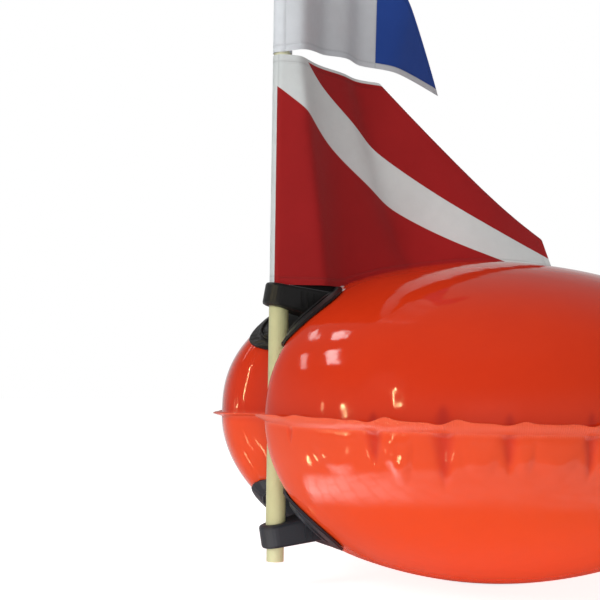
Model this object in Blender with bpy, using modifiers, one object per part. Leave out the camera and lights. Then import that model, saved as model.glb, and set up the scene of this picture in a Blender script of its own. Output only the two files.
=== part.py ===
import math

import bmesh
import bpy
from mathutils import Matrix, Vector

# Inflated float: two welded sheets, an upper and a lower panel, with a notch at the mast end.
BODY_R = 0.2954
RISE = {1: 0.1720, -1: 0.1803}
PROFILE_POWER = {1: 2.443, -1: 2.028}
PROFILE_ROOT = {1: 0.561, -1: 0.551}
NOTCH_DEPTH = 0.0751
NOTCH_HALF = 0.0342
NOTCH_TOP = 0.82
NOTCH_FADE = 2.39
NOTCH_SPREAD = 0.24
NOTCH_SHARPNESS = 5
SHELL_T = 0.0012
SEAM_GAP = 0.0003
SEAM_BASE = SEAM_GAP / 2 + SHELL_T
WELD_FLANGE = 0.009
REST_R = 0.042
REST_LEVEL = (1 - (REST_R / BODY_R) ** (1 / PROFILE_ROOT[-1])) ** (1 / PROFILE_POWER[-1])
SEAM_Z = SEAM_BASE + (RISE[-1] - SEAM_BASE) * REST_LEVEL
PANEL_SEGMENTS = 72
PANEL_LEVELS = 12
NOTCH_FOCUS = 0.74

# Mast and its sections, on one vertical axis at the mast end.
MAST_X = -0.2501
MAST_OD = 0.0206
MAST_ID = 0.0186
POLE_OD = 0.018
POLE_ID = 0.0150
CLEAR = 0.0003
UPPER_RING_Z = SEAM_Z + 0.126
LOWER_RING_Z = SEAM_Z - 0.122
RING_H = 0.024
RING_R = 0.0160
FOOT_Z = SEAM_Z - 0.1495
MAST_TOP = UPPER_RING_Z + RING_H / 2 + 0.0008
PLUG_DEPTH = 0.055
POLE_TOP = SEAM_Z + 0.626

# Brackets: rounded saddle plate on the float, tapered arm with a web on it, ring round the mast.
# Where a value differs above (1) and below (-1) the seam, it is given for both sides.
SADDLE_HALF_W = 0.063
SADDLE_HALF_H = {1: 0.034, -1: 0.037}
SADDLE_MIDDLE = {1: 0.1004, -1: 0.100}
SADDLE_SQUARENESS = {1: 0.78, -1: 0.86}
RIM_AT = 0.76
SADDLE_T = 0.0028
SADDLE_GAP = 0.0013
RIM_R = 0.0018
RIM_LIFT = 0.0003
ARM_TILT = math.radians(10)
ARM_BASE_HALF = 0.021
ARM_BEVEL = 0.0030
ARM_GROWTH = 0.16
SEAM_SIDE_GROWTH = {1: 0.42, -1: 0.16}
ARM_REACH = 0.016
WEB_HALF = 0.0050
WEB_TOP = 0.1389
RIB_PITCH = 0.006
RIB_SIZE = (0.0016, 0.0028, 0.016)

# Flags: pocket round the pole, then a sheet that hangs away from it.
FLAG_T = 0.0007
POCKET_R = 0.0101
DIVER_BOTTOM = SEAM_Z + 0.1395
DIVER_HOIST = 0.2405
SIGNAL_BOTTOM = SEAM_Z + 0.3825
SIGNAL_HOIST = 0.235
FLAG_LENGTH = 0.340
SWALLOW_CUT = 0.0977
FOLD_U = 0.1454
FOLD_RUN = 1.0467
AWAY_AZIMUTH = math.radians(-20.9)
FLAG_CLEARANCE = 0.0016
POCKET_WRAP = math.radians(322)
# Ripples of the cloth: swing in degrees, length in metres, start as a share of the length.
DIVER_BROAD = (32.0, 0.3033, 0.036)
DIVER_SMALL = (9.8, 0.1178, -0.009)
SIGNAL_BROAD = (28.0, 0.340, 0.024)
SIGNAL_SMALL = (10.0, 0.090, 0.157)

# Fittings on the far end and on the two sides.
PATCH_R = 0.030
PATCH_T = 0.0012
PATCH_GAP = 0.0004
FITTING_LEVEL = 0.42
RING_WIRE = 0.0022
RING_SPAN = 0.017
RING_DROP = 0.024
KEEPER_HALF = 0.011
KEEPER_FOOT = 0.016
KEEPER_T = 0.0016
KEEPER_SLACK = 0.0006
VALVE_R = 0.015
VALVE_LEVEL = 0.80

# Edges sharper than this are shaded as edges.
SHARP_EDGE = math.radians(32)


def start_clean():
    for obj in list(bpy.data.objects):
        bpy.data.objects.remove(obj, do_unlink=True)
    buoy = bpy.data.collections.new("dive_float_buoy")
    cutters = bpy.data.collections.new("cutters")
    bpy.context.scene.collection.children.link(buoy)
    bpy.context.scene.collection.children.link(cutters)
    return buoy, cutters


BUOY, CUTTERS = start_clean()


def material(name, color, roughness, metallic=0.0):
    mat = bpy.data.materials.new(name)
    mat.use_nodes = True
    shader = mat.node_tree.nodes["Principled BSDF"]
    shader.inputs["Base Color"].default_value = (*color, 1.0)
    shader.inputs["Roughness"].default_value = roughness
    shader.inputs["Metallic"].default_value = metallic
    mat.diffuse_color = (*color, 1.0)
    return mat


def new_object(name, bm, mat=None, cutter=False):
    mesh = bpy.data.meshes.new(name)
    bmesh.ops.recalc_face_normals(bm, faces=bm.faces)
    bm.to_mesh(mesh)
    bm.free()
    obj = bpy.data.objects.new(name, mesh)
    (CUTTERS if cutter else BUOY).objects.link(obj)
    if cutter:
        obj.hide_render = True
        obj.display_type = "WIRE"
    if mat:
        mesh.materials.append(mat)
    for poly in mesh.polygons:
        poly.use_smooth = True
    mesh.set_sharp_from_angle(angle=SHARP_EDGE)
    return obj


def set_origin(obj, point):
    obj.data.transform(Matrix.Translation(-Vector(point)))
    obj.location = Vector(point)


def combine(obj, other, operation):
    mod = obj.modifiers.new(operation.lower() + "_" + other.name, "BOOLEAN")
    mod.operation = operation
    mod.object = other
    mod.solver = "EXACT"


def apply_modifiers(obj):
    depsgraph = bpy.context.evaluated_depsgraph_get()
    mesh = bpy.data.meshes.new_from_object(obj.evaluated_get(depsgraph))
    obj.modifiers.clear()
    obj.data = mesh
    mesh.set_sharp_from_angle(angle=SHARP_EDGE)


def lathe(name, profile, centre, mat, steps=32):
    """Closed tube or disc from an (r, z) outline turned about a vertical axis through centre."""
    bm = bmesh.new()
    verts = [bm.verts.new((r, 0.0, z)) for r, z in profile]
    edges = [bm.edges.new((verts[i], verts[(i + 1) % len(verts)])) for i in range(len(verts))]
    bmesh.ops.spin(bm, geom=verts + edges, cent=(0, 0, 0), axis=(0, 0, 1),
                   angle=2 * math.pi, steps=steps, use_merge=True, use_duplicate=False)
    bmesh.ops.remove_doubles(bm, verts=bm.verts, dist=1e-6)
    obj = new_object(name, bm, mat)
    obj.location = centre
    return obj


# Form of the float: one radius for every angle and height, which all that lies on it follows.
def ring_radius(angle, level, side=1):
    """Radius of the float at a height, level 0 at the seam to 1 at the crown; angle 0 faces the mast."""
    across = abs(BODY_R * math.sin(angle))
    half = NOTCH_HALF * (1 + NOTCH_SPREAD * level)
    bite = 1 / (1 + (across / half) ** NOTCH_SHARPNESS) if math.cos(angle) > 0 else 0.0
    depth = NOTCH_DEPTH * max(0.0, 1 - (level / NOTCH_TOP) ** NOTCH_FADE)
    return (1 - level ** PROFILE_POWER[side]) ** PROFILE_ROOT[side] * (BODY_R - depth * bite)


def float_point(angle, level, side=1):
    r = ring_radius(angle, level, side)
    z = SEAM_BASE + (RISE[side] - SEAM_BASE) * level
    return Vector((-r * math.cos(angle), r * math.sin(angle), SEAM_Z + side * z))


def float_normal(angle, level, side=1):
    step = 1e-4
    du = float_point(angle + step, level, side) - float_point(angle - step, level, side)
    dv = float_point(angle, level + step, side) - float_point(angle, level - step, side)
    n = du.cross(dv).normalized()
    outward = float_point(angle, level, side) - Vector((0, 0, SEAM_Z))
    return n if n.dot(outward) > 0 else -n


def angle_at(y, level, facing, side):
    """Angle on a height level at which the float is y to the side of a facing direction."""
    angle = 0.0
    for _ in range(8):
        angle = math.asin(max(-0.95, min(0.95, y / ring_radius(facing + angle, level, side))))
    return facing + angle


def panel_angles():
    """Angles round the float, closer together at the notch."""
    return [t - NOTCH_FOCUS * math.sin(t) for t in
            (-math.pi + 2 * math.pi * i / PANEL_SEGMENTS for i in range(PANEL_SEGMENTS))]


def panel(name, side, mat):
    """One sheet of the float with its weld flange; the lower one ends in the facet it rests on."""
    bm = bmesh.new()
    angles = panel_angles()
    outline = [float_point(a, 0, side) for a in angles]
    rim = []
    for i, point in enumerate(outline):
        along = outline[(i + 1) % PANEL_SEGMENTS] - outline[i - 1]
        out = Vector((-along.y, along.x, 0)).normalized()
        if out.dot(Vector((point.x, point.y, 0))) < 0:
            out = -out
        rim.append(point + out * WELD_FLANGE)
    top_level = REST_LEVEL if side < 0 else 1.0
    rows = [rim]
    for j in range(PANEL_LEVELS + (side < 0)):
        level = top_level * math.sin(math.pi / 2 * j / PANEL_LEVELS)
        rows.append([float_point(a, level, side) for a in angles])
    verts = [[bm.verts.new(p) for p in row] for row in rows]
    for low, high in zip(verts[:-1], verts[1:]):
        for i in range(PANEL_SEGMENTS):
            j = (i + 1) % PANEL_SEGMENTS
            bm.faces.new((low[i], low[j], high[j], high[i]))
    if side > 0:
        crown = bm.verts.new((0, 0, SEAM_Z + RISE[side]))
    else:
        crown = bm.verts.new((0, 0, rows[-1][0].z))
    for i in range(PANEL_SEGMENTS):
        bm.faces.new((verts[-1][i], verts[-1][(i + 1) % PANEL_SEGMENTS], crown))
    obj = new_object(name, bm, mat)
    face = obj.data.polygons[-1]
    if face.normal.z * side < 0:
        obj.data.flip_normals()
    shell = obj.modifiers.new("sheet_thickness", "SOLIDIFY")
    shell.thickness = SHELL_T
    shell.offset = -1
    shell.use_even_offset = True
    apply_modifiers(obj)
    return obj


# Saddles and patches: sheets that lie on the float.
def rounded(t, squareness):
    """Point of a rounded outline with half sizes of 1; squareness 1 is an ellipse, less is boxier."""
    c, s = math.cos(t), math.sin(t)
    return math.copysign(abs(c) ** squareness, c), math.copysign(abs(s) ** squareness, s)


def surface_patch(facing, level, side, half_w, half_h, lift, rings=5, segments=36, squareness=1.0, sink=0.0):
    """Rounded sheet that follows the float at a lift above the skin, and its edge loop.

    With a sink, a second sheet is set that far towards the middle of the float, to close a block.
    """
    bm = bmesh.new()
    loops = []
    mid_z = float_point(facing, level, side).z

    def at(u, v):
        z = abs(mid_z + v - SEAM_Z)
        lev = min(0.985, max(0.0, (z - SEAM_BASE) / (RISE[side] - SEAM_BASE)))
        ang = angle_at(u, lev, facing, side)
        return float_point(ang, lev, side) + float_normal(ang, lev, side) * lift

    centre = bm.verts.new(at(0, 0))
    outline = [rounded(2 * math.pi * i / segments, squareness) for i in range(segments)]
    for k in range(1, rings + 1):
        f = k / rings
        loops.append([bm.verts.new(at(half_w * f * x, half_h * f * y)) for x, y in outline])
    for i in range(segments):
        bm.faces.new((centre, loops[0][i], loops[0][(i + 1) % segments]))
    for inner, outer in zip(loops[:-1], loops[1:]):
        for i in range(segments):
            j = (i + 1) % segments
            bm.faces.new((inner[i], outer[i], outer[j], inner[j]))
    edge = [v.co.copy() for v in loops[-1]]
    if sink:
        under = bmesh.ops.duplicate(bm, geom=bm.verts[:] + bm.edges[:] + bm.faces[:])
        inward = Vector((math.cos(facing), -math.sin(facing), 0)) * sink
        moved = [e for e in under["geom"] if isinstance(e, bmesh.types.BMVert)]
        bmesh.ops.translate(bm, verts=moved, vec=inward)
        bmesh.ops.bridge_loops(bm, edges=[e for e in bm.edges if e.is_boundary])
    return bm, edge


def face_outward(obj):
    centre = Vector((0, 0, SEAM_Z))
    face = obj.data.polygons[0]
    if face.normal.dot(Vector(face.center) - centre) < 0:
        obj.data.flip_normals()


def thicken(obj, thickness, offset):
    shell = obj.modifiers.new("plate_thickness", "SOLIDIFY")
    shell.thickness = thickness
    shell.offset = offset
    shell.use_even_offset = True
    apply_modifiers(obj)


def patch_plate(name, facing, level, side, half_w, half_h, lift, thickness, mat, segments=36, rings=5,
                squareness=1.0):
    bm, _ = surface_patch(facing, level, side, half_w, half_h, lift, rings, segments, squareness)
    obj = new_object(name, bm, mat)
    face_outward(obj)
    thicken(obj, thickness, 1)
    return obj


def closed_wire(name, points, radius, mat, resolution=2, cutter=False):
    curve = bpy.data.curves.new(name, "CURVE")
    curve.dimensions = "3D"
    curve.bevel_depth = radius
    curve.bevel_resolution = resolution
    spline = curve.splines.new("POLY")
    spline.points.add(len(points) - 1)
    for point, co in zip(spline.points, points):
        point.co = (*co, 1.0)
    spline.use_cyclic_u = True
    temp = bpy.data.objects.new(name + "_curve", curve)
    BUOY.objects.link(temp)
    depsgraph = bpy.context.evaluated_depsgraph_get()
    mesh = bpy.data.meshes.new_from_object(temp.evaluated_get(depsgraph))
    bpy.data.objects.remove(temp, do_unlink=True)
    bm = bmesh.new()
    bm.from_mesh(mesh)
    bmesh.ops.remove_doubles(bm, verts=bm.verts, dist=1e-6)
    return new_object(name, bm, mat, cutter=cutter)


def arm_block(name, side, ring_z, length):
    """Rounded nose that wraps the mast and widens to the saddle, tilted towards the seam."""
    front = [(-RING_R * math.cos(t), RING_R * math.sin(t))
             for t in (math.radians(-84 + 168 * i / 14) for i in range(15))]
    outline = front + [(length, ARM_BASE_HALF), (length, -ARM_BASE_HALF)]
    bm = bmesh.new()
    base = bm.faces.new([bm.verts.new((x, y, -RING_H / 2)) for x, y in outline])
    grown = bmesh.ops.extrude_face_region(bm, geom=[base])
    bmesh.ops.translate(bm, verts=[g for g in grown["geom"] if isinstance(g, bmesh.types.BMVert)],
                        vec=(0, 0, RING_H))
    flat = [e for e in bm.edges if abs(e.verts[0].co.z - e.verts[1].co.z) < 1e-6]
    bmesh.ops.bevel(bm, geom=flat, offset=ARM_BEVEL, segments=2, profile=0.5, affect="EDGES")
    for v in bm.verts:
        growth = SEAM_SIDE_GROWTH[side] if v.co.z * side < 0 else ARM_GROWTH
        v.co.z *= 1 + growth * max(0.0, v.co.x) / length
    bmesh.ops.rotate(bm, verts=bm.verts, cent=(0, 0, 0), matrix=Matrix.Rotation(side * ARM_TILT, 3, "Y"))
    bmesh.ops.translate(bm, verts=bm.verts, vec=(MAST_X, 0, ring_z))
    return new_object(name, bm, cutter=True)


def box_between(name, low, high):
    bm = bmesh.new()
    bmesh.ops.create_cube(bm, size=1.0)
    low, high = Vector(low), Vector(high)
    for v in bm.verts:
        v.co = Vector((a + (b - a) * (c + 0.5) for a, b, c in zip(low, high, v.co)))
    return new_object(name, bm, cutter=True)


def bracket(name, side, ring_z, bores, mat):
    """Saddle plate in the notch, ribbed nose round the mast, and bores as (radius, z from, z to)."""
    level = (SADDLE_MIDDLE[side] - SEAM_BASE) / (RISE[side] - SEAM_BASE)
    half_h, square = SADDLE_HALF_H[side], SADDLE_SQUARENESS[side]
    plate = patch_plate(name, 0.0, level, side, SADDLE_HALF_W, half_h, SADDLE_GAP, SADDLE_T, mat,
                        segments=40, rings=6, squareness=square)
    wall = float_point(0.0, level, side)
    rim_bm, rim_points = surface_patch(0.0, level, side, SADDLE_HALF_W * RIM_AT, half_h * RIM_AT,
                                       SADDLE_GAP + SADDLE_T + RIM_LIFT, 1, 36, square)
    rim_bm.free()
    rim = closed_wire(name + "_rim", rim_points, RIM_R, None, 1, cutter=True)
    length = wall.x - MAST_X + ARM_REACH
    arm = arm_block(name + "_arm", side, ring_z, length)
    added = [arm]
    if side > 0:
        added.append(box_between(name + "_web", (MAST_X + RING_R - 0.002, -WEB_HALF, ring_z - 0.004),
                                 (MAST_X + length + 0.012, WEB_HALF, SEAM_Z + WEB_TOP)))
    thick, proud, tall = RIB_SIZE
    for k in range(3):
        x = MAST_X + length - 0.034 + RIB_PITCH * k
        z = ring_z - side * math.tan(ARM_TILT) * (x - MAST_X)
        half = RING_R + (ARM_BASE_HALF - RING_R) * (x - MAST_X) / length
        for hand in (-1, 1):
            added.append(box_between("%s_rib_%d%s" % (name, k, "l" if hand > 0 else "r"),
                                     (x - thick / 2, hand * half - proud / 2, z - tall / 2),
                                     (x + thick / 2, hand * half + proud / 2, z + tall / 2)))
    under_bm, _ = surface_patch(0.0, level, side, SADDLE_HALF_W + 0.006, half_h + 0.012,
                                SADDLE_GAP, 6, 40, square, sink=0.060)
    under = new_object(name + "_under", under_bm, None, cutter=True)
    for extra in (*added, rim):
        combine(plate, extra, "UNION")
    combine(plate, under, "DIFFERENCE")
    for k, (radius, low, high) in enumerate(bores):
        bm = bmesh.new()
        bmesh.ops.create_cone(bm, cap_ends=True, segments=32, radius1=radius, radius2=radius,
                              depth=high - low)
        drill = new_object(name + "_bore_%d" % k, bm, None, cutter=True)
        drill.location = (MAST_X, 0, (low + high) / 2)
        combine(plate, drill, "DIFFERENCE")
    apply_modifiers(plate)
    return plate


# Flags: cloth laid out by its heading in plan, along u from the pole and up by v.
def heading_vector(turn):
    """Unit direction in plan: turn 0 lies across the viewer's sight, 90 degrees goes straight away."""
    right = Vector((math.cos(AWAY_AZIMUTH), math.sin(AWAY_AZIMUTH), 0))
    away = Vector((-math.sin(AWAY_AZIMUTH), math.cos(AWAY_AZIMUTH), 0))
    return right * math.cos(turn) + away * math.sin(turn)


def crown_height(x, y):
    """Height of the float's top above the ground plan point."""
    reach = math.hypot(x, y)
    angle = math.atan2(y, -x)
    low, high = 0.0, 1.0
    if reach >= ring_radius(angle, 0.0):
        return SEAM_Z
    for _ in range(24):
        mid = (low + high) / 2
        low, high = (mid, high) if ring_radius(angle, mid) > reach else (low, mid)
    return float_point(angle, low).z


def ripple(wave, u):
    swing, length, start = wave
    return swing * math.sin(2 * math.pi * (u / length + start)) * min(1, u / 0.02)


def diver_turn(u, v):
    """Heading of the lower flag: it swings away and comes back, more so near its top."""
    high = v / DIVER_HOIST - 0.5
    sweep = 12 + (34.3 - 7.1 * high) * u / FLAG_LENGTH
    return math.radians(sweep + ripple(DIVER_BROAD, u) * (1 + 0.375 * high) + ripple(DIVER_SMALL, u))


def signal_turn(u, v):
    """Heading of the upper flag, with the same two ripples."""
    high = v / SIGNAL_HOIST
    swing, length, start = SIGNAL_BROAD
    sweep = 38.4 + (33.2 + 6.1 * high) * u / FLAG_LENGTH
    return math.radians(sweep + ripple((swing, length, start + 0.066 * high), u) + ripple(SIGNAL_SMALL, u))


def diver_rise(point, u, v):
    """Shift of the lower flag: its lower edge rides over the float and its top sags from the pole."""
    high = min(1.0, v / DIVER_HOIST)
    over = max(0.0, crown_height(point.x, point.y) + FLAG_CLEARANCE - DIVER_BOTTOM)
    return over * (1 - high) ** 2.58 + (0.0072 * u - 0.381 * u ** 2) * high


def diver_length(v):
    """The upper fly corner is folded back behind the flag along a straight line."""
    return min(FLAG_LENGTH, FOLD_U + (DIVER_HOIST - v) * FOLD_RUN)


def signal_length(v):
    """Swallowtail: the fly edge is cut in to a point at mid height."""
    return FLAG_LENGTH - SWALLOW_CUT * (1 - abs(2 * v / SIGNAL_HOIST - 1))


def signal_rise(point, u, v):
    """The upper flag's lower edge arches between the pole and the fly; its top edge stays level."""
    arch = 0.0208 * math.sin(math.pi * u / FLAG_LENGTH) + 0.0124 * u / FLAG_LENGTH
    return arch * (1 - v / SIGNAL_HOIST)


def flag(name, bottom, hoist, turn, rise, reach, mat, columns, levels):
    """Sheet that wraps the pole once as a pocket and then runs out along its heading."""
    bm = bmesh.new()
    grid = []
    pocket_steps = 14
    for j in range(levels + 1):
        v = hoist * j / levels
        head = turn(0.0, v)
        along = heading_vector(head)
        side = Vector((-along.y, along.x, 0))
        start = Vector((MAST_X, 0, 0)) - side * POCKET_R
        row = []
        for i in range(pocket_steps):
            phi = -POCKET_WRAP * (1 - i / pocket_steps)
            spoke = -side * math.cos(phi) + along * math.sin(phi)
            row.append(Vector((MAST_X, 0, bottom + v)) + spoke * POCKET_R)
        point = start.copy()
        length = reach(v)
        for i in range(columns + 1):
            u = length * i / columns
            if i:
                mid = length * (i - 0.5) / columns
                point = point + heading_vector(turn(mid, v)) * (length / columns)
            row.append(Vector((point.x, point.y, bottom + v + rise(point, u, v))))
        grid.append([bm.verts.new(p) for p in row])
    for low, high in zip(grid[:-1], grid[1:]):
        for i in range(len(low) - 1):
            bm.faces.new((low[i], low[i + 1], high[i + 1], high[i]))
    obj = new_object(name, bm, mat)
    cloth = obj.modifiers.new("cloth_thickness", "SOLIDIFY")
    cloth.thickness = FLAG_T
    cloth.offset = 0
    apply_modifiers(obj)
    set_origin(obj, (MAST_X, 0, bottom))
    return obj


# Ring fittings: patch, keeper and ring at one place on the float.
def ring_fitting(prefix, facing, level, side, webbing, steel, skin):
    """Round patch on the float, a webbing keeper on it and a D-shaped ring that swings in the keeper."""
    patch_plate(prefix + "_patch", facing, level, side, PATCH_R, PATCH_R, PATCH_GAP, PATCH_T, skin,
                segments=28, rings=3)
    normal = float_normal(facing, level, side)
    centre = float_point(facing, level, side) + normal * (PATCH_T + 0.0009)
    across = Vector((math.sin(facing), math.cos(facing), 0)).normalized()
    if normal.cross(across).z < 0:
        across = -across
    up = normal.cross(across).normalized()
    frame = Matrix((across, up, normal)).transposed().to_4x4()
    frame.translation = centre

    # The keeper is a strap: flat feet with an arch over the ring's straight side.
    bore = RING_WIRE + KEEPER_SLACK
    outer = bore + KEEPER_T
    axis_z = 0.0004 + outer
    turns = [math.pi * k / 12 for k in range(13)]
    arch = [(outer * math.cos(t), axis_z + outer * math.sin(t)) for t in turns]
    foot = [(-outer, KEEPER_T), (-KEEPER_FOOT, KEEPER_T), (-KEEPER_FOOT, 0.0), (KEEPER_FOOT, 0.0),
            (KEEPER_FOOT, KEEPER_T), (outer, KEEPER_T)]
    outline = arch + foot
    bm = bmesh.new()
    ends = [[bm.verts.new((y, x, z)) for x, z in outline] for y in (-KEEPER_HALF, KEEPER_HALF)]
    for i in range(len(outline)):
        j = (i + 1) % len(outline)
        bm.faces.new((ends[0][i], ends[0][j], ends[1][j], ends[1][i]))
    bm.faces.new(ends[0])
    bm.faces.new(list(reversed(ends[1])))
    keeper = new_object(prefix + "_keeper", bm, webbing)
    hole_bm = bmesh.new()
    bmesh.ops.create_cone(hole_bm, cap_ends=True, segments=24, radius1=bore, radius2=bore,
                          depth=4 * KEEPER_HALF)
    lie_down = Matrix.Rotation(math.pi / 2, 3, "Y")
    bmesh.ops.rotate(hole_bm, verts=hole_bm.verts, cent=(0, 0, 0), matrix=lie_down)
    bmesh.ops.translate(hole_bm, verts=hole_bm.verts, vec=(0, 0, axis_z))
    hole = new_object(prefix + "_hole", hole_bm, None, cutter=True)
    combine(keeper, hole, "DIFFERENCE")
    apply_modifiers(keeper)
    keeper.data.transform(frame)
    hole.data.transform(frame)

    points = [Vector((-RING_SPAN, 0, axis_z)), Vector((RING_SPAN, 0, axis_z))]
    for k in range(1, 16):
        t = math.pi * k / 16
        points.append(Vector((RING_SPAN * math.cos(t), -0.002 - RING_DROP * math.sin(t), axis_z)))
    ring = closed_wire(prefix + "_ring", [frame @ p for p in points], RING_WIRE, steel, 2)
    set_origin(ring, frame @ Vector((0, 0, axis_z)))


def build():
    skin = material("orange_pvc", (0.80, 0.10, 0.03), 0.3)
    skin_low = material("orange_pvc_lower", (0.86, 0.13, 0.04), 0.3)
    black = material("black_moulding", (0.012, 0.013, 0.015), 0.45)
    black_low = material("black_moulding_lower", (0.013, 0.014, 0.018), 0.45)
    cream = material("cream_tube", (0.66, 0.65, 0.45), 0.4)
    pole = material("pole_tube", (0.62, 0.61, 0.44), 0.4)
    foot = material("foot_tube", (0.64, 0.63, 0.46), 0.4)
    cap = material("black_cap", (0.02, 0.02, 0.02), 0.5)
    plug_mat = material("foot_plug_grey", (0.05, 0.05, 0.05), 0.5)
    blue_white = material("signal_cloth", (0.10, 0.18, 0.42), 0.8)
    red_white = material("diver_cloth", (0.42, 0.03, 0.03), 0.8)
    valve_mat = material("valve_grey", (0.05, 0.05, 0.055), 0.4)
    valve_cap = material("valve_cap_black", (0.02, 0.02, 0.02), 0.4)
    webbing = material("black_webbing", (0.015, 0.015, 0.015), 0.8)
    steel = material("ring_steel", (0.62, 0.62, 0.62), 0.25, 1.0)
    patch_mat = material("patch_pvc", (0.72, 0.09, 0.03), 0.35)

    panel("upper_panel", 1, skin)
    panel("lower_panel", -1, skin_low)

    # The upper ring lets the mast through; the lower ring steps in, so the mast's end rests on the step.
    step_z = LOWER_RING_Z + 0.002
    bracket("upper_mast_bracket", 1, UPPER_RING_Z,
            [(MAST_OD / 2 + CLEAR, UPPER_RING_Z - 0.02, UPPER_RING_Z + 0.02)], black)
    bracket("lower_mast_bracket", -1, LOWER_RING_Z,
            [(MAST_OD / 2 + CLEAR, step_z, LOWER_RING_Z + 0.03),
             (POLE_OD / 2 + CLEAR, LOWER_RING_Z - 0.03, step_z + 0.001)], black_low)

    low = step_z + CLEAR
    lathe("mast_tube", [(MAST_OD / 2, low), (MAST_OD / 2, MAST_TOP), (MAST_ID / 2, MAST_TOP),
                        (MAST_ID / 2, low)], (MAST_X, 0, 0), cream)
    foot_top = low + PLUG_DEPTH
    lathe("foot_pole", [(POLE_OD / 2, FOOT_Z), (POLE_OD / 2, foot_top), (POLE_ID / 2, foot_top),
                        (POLE_ID / 2, FOOT_Z)], (MAST_X, 0, 0), foot)
    plug_top = FOOT_Z + 0.016
    lathe("foot_plug", [(0.0001, FOOT_Z + 0.0015), (POLE_ID / 2 - 0.0010, FOOT_Z + 0.0015),
                        (POLE_ID / 2 - CLEAR, FOOT_Z + 0.0022), (POLE_ID / 2 - 0.0009, plug_top),
                        (0.0001, plug_top)], (MAST_X, 0, 0), plug_mat, 24)
    pole_low = MAST_TOP - PLUG_DEPTH
    lathe("upper_pole", [(POLE_OD / 2, pole_low), (POLE_OD / 2, POLE_TOP), (POLE_ID / 2, POLE_TOP),
                         (POLE_ID / 2, pole_low)], (MAST_X, 0, 0), pole)
    lathe("pole_cap", [(0.0001, POLE_TOP - 0.012), (POLE_ID / 2 - 0.0009, POLE_TOP - 0.012),
                       (POLE_ID / 2 - CLEAR, POLE_TOP + CLEAR), (POLE_OD / 2 + 0.0008, POLE_TOP + CLEAR),
                       (POLE_OD / 2 + 0.0008, POLE_TOP + 0.003), (0.0055, POLE_TOP + 0.0065),
                       (0.0001, POLE_TOP + 0.0075)], (MAST_X, 0, 0), cap, 24)

    flag("signal_flag", SIGNAL_BOTTOM, SIGNAL_HOIST, signal_turn, signal_rise, signal_length,
         blue_white, 24, 8)
    flag("diver_flag", DIVER_BOTTOM, DIVER_HOIST, diver_turn, diver_rise, diver_length,
         red_white, 26, 10)

    # Inflation valve on the far half of the upper panel.
    normal = float_normal(math.pi, VALVE_LEVEL)
    seat = float_point(math.pi, VALVE_LEVEL) + normal * 0.0006
    tilt = Vector((0, 0, 1)).rotation_difference(normal).to_matrix().to_4x4()
    tilt.translation = seat
    body = lathe("valve_body", [(0.0050, 0), (VALVE_R, 0), (VALVE_R, 0.0012), (0.0095, 0.0022),
                                (0.0080, 0.0030), (0.0080, 0.0100), (0.0050, 0.0100)], (0, 0, 0),
                 valve_mat, 24)
    body.data.transform(tilt)
    plug = lathe("valve_plug", [(0.0001, 0.0040), (0.0042, 0.0040), (0.0047, 0.0103), (0.0088, 0.0103),
                                (0.0088, 0.0128), (0.0080, 0.0136), (0.0001, 0.0136)], (0, 0, 0),
                 valve_cap, 24)
    plug.data.transform(tilt)
    set_origin(plug, seat)

    for prefix, facing in (("tow", math.pi), ("left", math.radians(96)), ("right", math.radians(-96))):
        ring_fitting(prefix, facing, FITTING_LEVEL, 1, webbing, steel, patch_mat)


build()
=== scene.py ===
import math

import bmesh
import bpy
import numpy as np
from mathutils import Matrix, Vector


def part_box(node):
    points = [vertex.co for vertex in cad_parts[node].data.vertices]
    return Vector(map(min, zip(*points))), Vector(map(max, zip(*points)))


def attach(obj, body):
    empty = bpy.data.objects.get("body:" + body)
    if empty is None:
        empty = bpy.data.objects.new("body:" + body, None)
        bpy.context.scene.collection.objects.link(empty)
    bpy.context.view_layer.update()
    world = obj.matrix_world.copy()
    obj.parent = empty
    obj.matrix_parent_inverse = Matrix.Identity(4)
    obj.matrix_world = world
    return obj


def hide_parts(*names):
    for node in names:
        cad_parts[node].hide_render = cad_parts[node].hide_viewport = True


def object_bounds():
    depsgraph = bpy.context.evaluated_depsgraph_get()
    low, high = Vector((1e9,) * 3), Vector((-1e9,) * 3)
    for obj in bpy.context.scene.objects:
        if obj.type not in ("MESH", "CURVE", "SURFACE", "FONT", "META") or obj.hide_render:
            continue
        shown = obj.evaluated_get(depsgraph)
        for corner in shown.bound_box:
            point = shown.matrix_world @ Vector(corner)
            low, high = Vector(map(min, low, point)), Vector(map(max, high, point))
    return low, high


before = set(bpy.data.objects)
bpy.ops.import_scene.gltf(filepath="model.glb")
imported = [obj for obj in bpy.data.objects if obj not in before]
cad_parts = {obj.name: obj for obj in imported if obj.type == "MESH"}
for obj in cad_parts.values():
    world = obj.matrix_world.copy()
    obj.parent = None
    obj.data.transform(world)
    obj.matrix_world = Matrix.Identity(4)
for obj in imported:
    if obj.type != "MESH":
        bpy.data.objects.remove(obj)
cad_bounds = [list(corner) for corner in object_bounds()]

# Camera.
# It stands off the mast end, almost level with the seam, with a lens set for the photograph's square
# picture.
# Yaw, pitch and roll are the small turns by which the photograph was held off level.
SEAM_Z = (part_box("upper_panel")[0][2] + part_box("lower_panel")[1][2]) / 2
MAST_X = (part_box("mast_tube")[0][0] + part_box("mast_tube")[1][0]) / 2
CAMERA_AZIMUTH = math.radians(-20.907)
CAMERA_DISTANCE = 1.3071
CAMERA_RISE = 0.0578
CAMERA_YAW = math.radians(0.967)
CAMERA_PITCH = math.radians(2.8156)
CAMERA_ROLL = math.radians(0.8225)
FOCAL_PX = 1248.5
PICTURE_PX = 600
SENSOR_MM = 36.0


def new_object(name, data):
    obj = bpy.data.objects.new(name, data)
    bpy.context.scene.collection.objects.link(obj)
    return obj


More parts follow.
